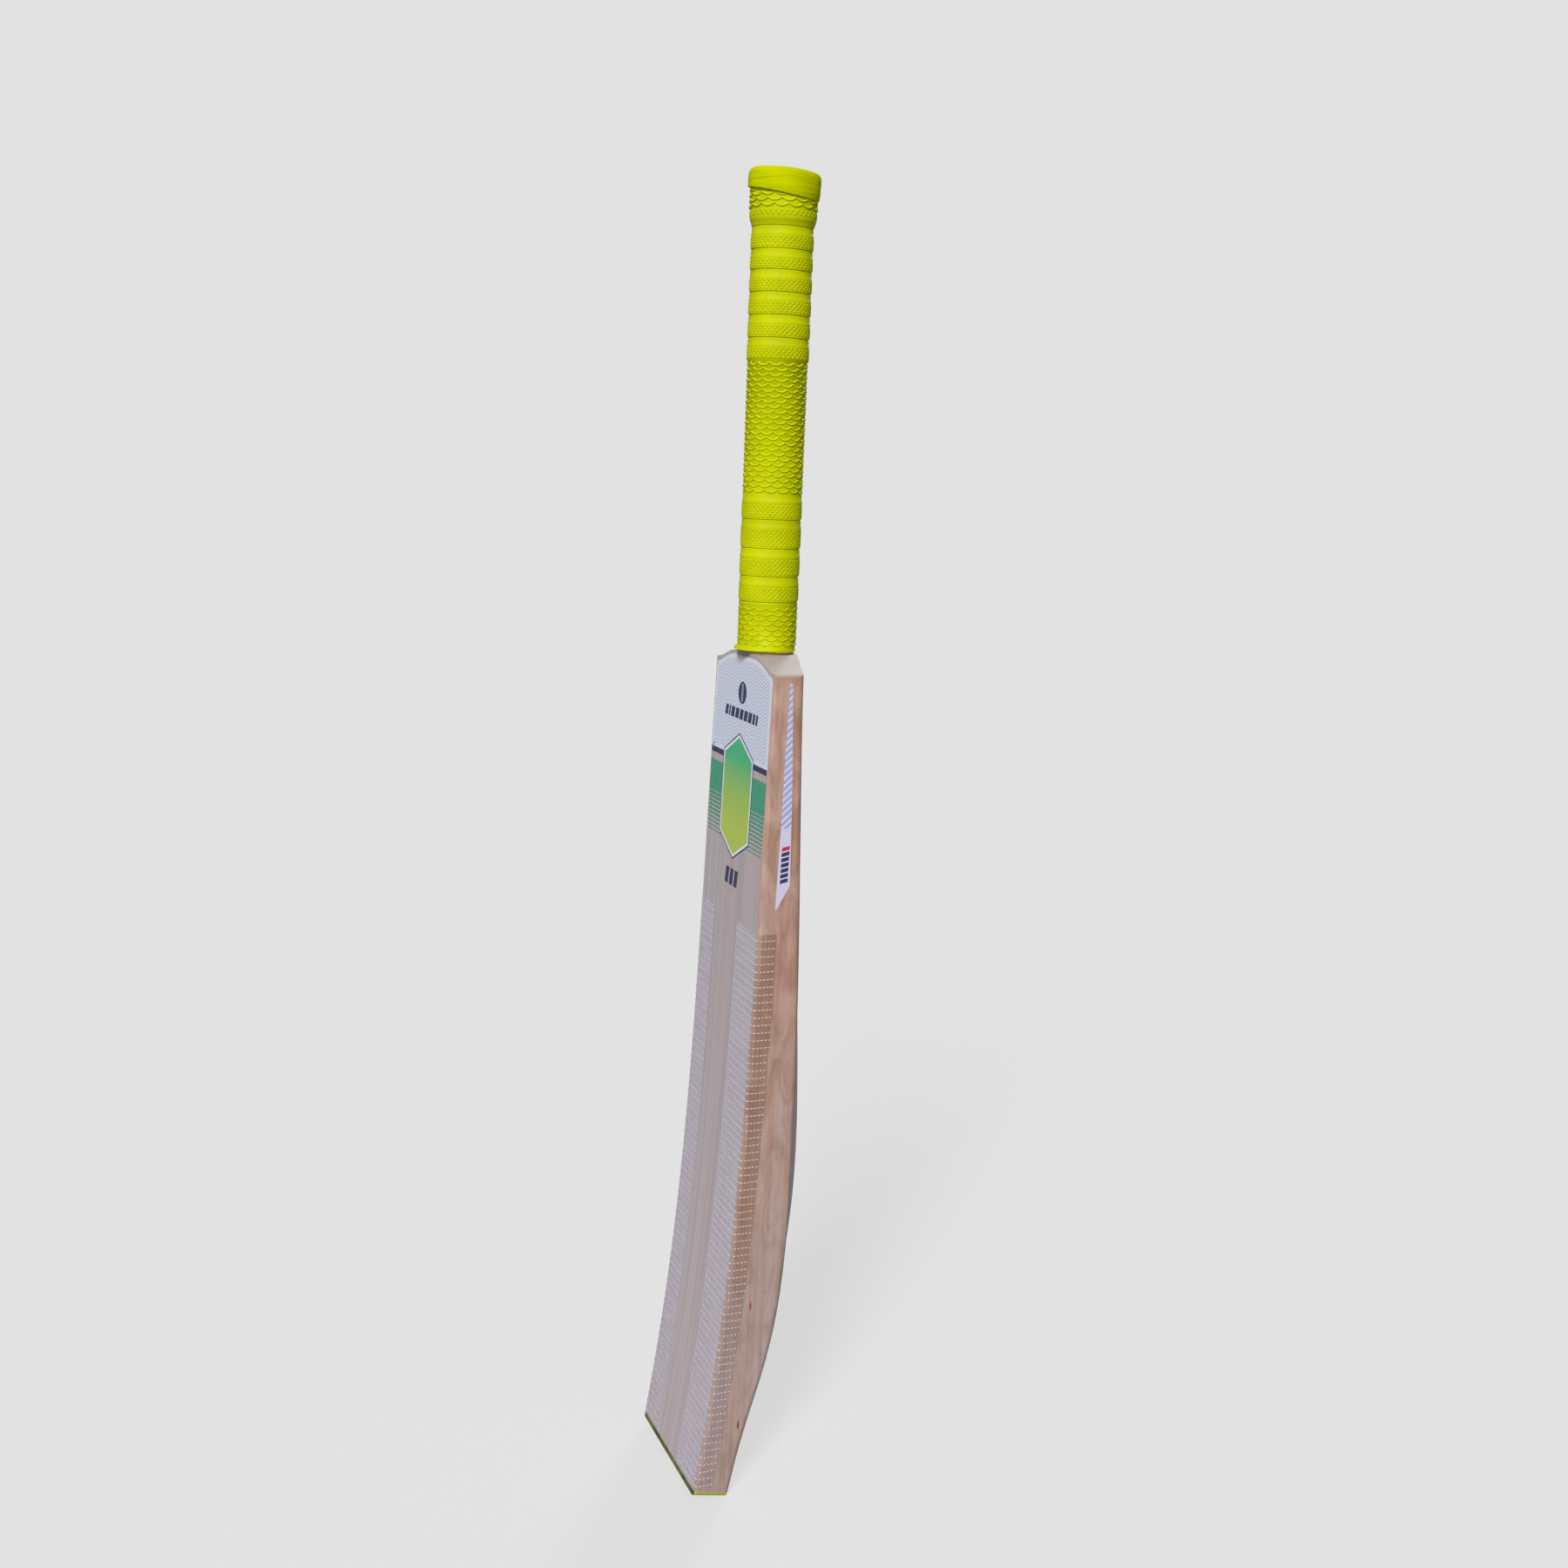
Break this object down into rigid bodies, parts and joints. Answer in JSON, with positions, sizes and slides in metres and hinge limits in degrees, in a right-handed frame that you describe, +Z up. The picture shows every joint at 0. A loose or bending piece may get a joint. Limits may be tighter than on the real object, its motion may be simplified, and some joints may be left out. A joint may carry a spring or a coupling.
{
  "type": "cricket bat",
  "caption": "Willow bat with a bowed, ridge-backed blade, a laminated cane handle spliced into it, a rubber grip, a toe guard and edge tapes.",
  "frame": {"origin": "middle of the toe's flat end, on the toe guard's underside", "axes": "+Z up along the handle, +Y away from the hitting face, +X to the right-hand edge as the face is looked at"},
  "size_m": [0.1086, 0.0845, 0.8536],
  "materials": {
    "willow": "satin, sanded and oiled",
    "cane": "satin",
    "spring_rubber": "matte",
    "twine": "waxed",
    "grip_rubber": "satin moulded pattern",
    "guard_rubber": "satin",
    "fibre_tape": "gloss, clear with woven threads",
    "printed_film": "gloss print"
  },
  "bodies": {
    "root": {"blade": "willow", "toe_guard": "guard_rubber", "cane_1_left": "cane", "cane_1_middle": "cane", "cane_1_right": "cane", "cane_2_left": "cane", "cane_2_middle": "cane", "cane_2_right": "cane", "cane_3_left": "cane", "cane_3_middle": "cane", "cane_3_right": "cane", "cane_4_left": "cane", "cane_4_middle": "cane", "cane_4_right": "cane", "spring_1": "spring_rubber", "spring_2": "spring_rubber", "spring_3": "spring_rubber", "handle_binding": "twine", "grip": "grip_rubber", "face_tape_right": "fibre_tape", "face_tape_left": "fibre_tape", "face_label": "printed_film", "edge_label_right": "printed_film", "edge_label_left": "printed_film", "back_label_right": "printed_film", "back_label_left": "printed_film"}
  },
  "joints": []
}
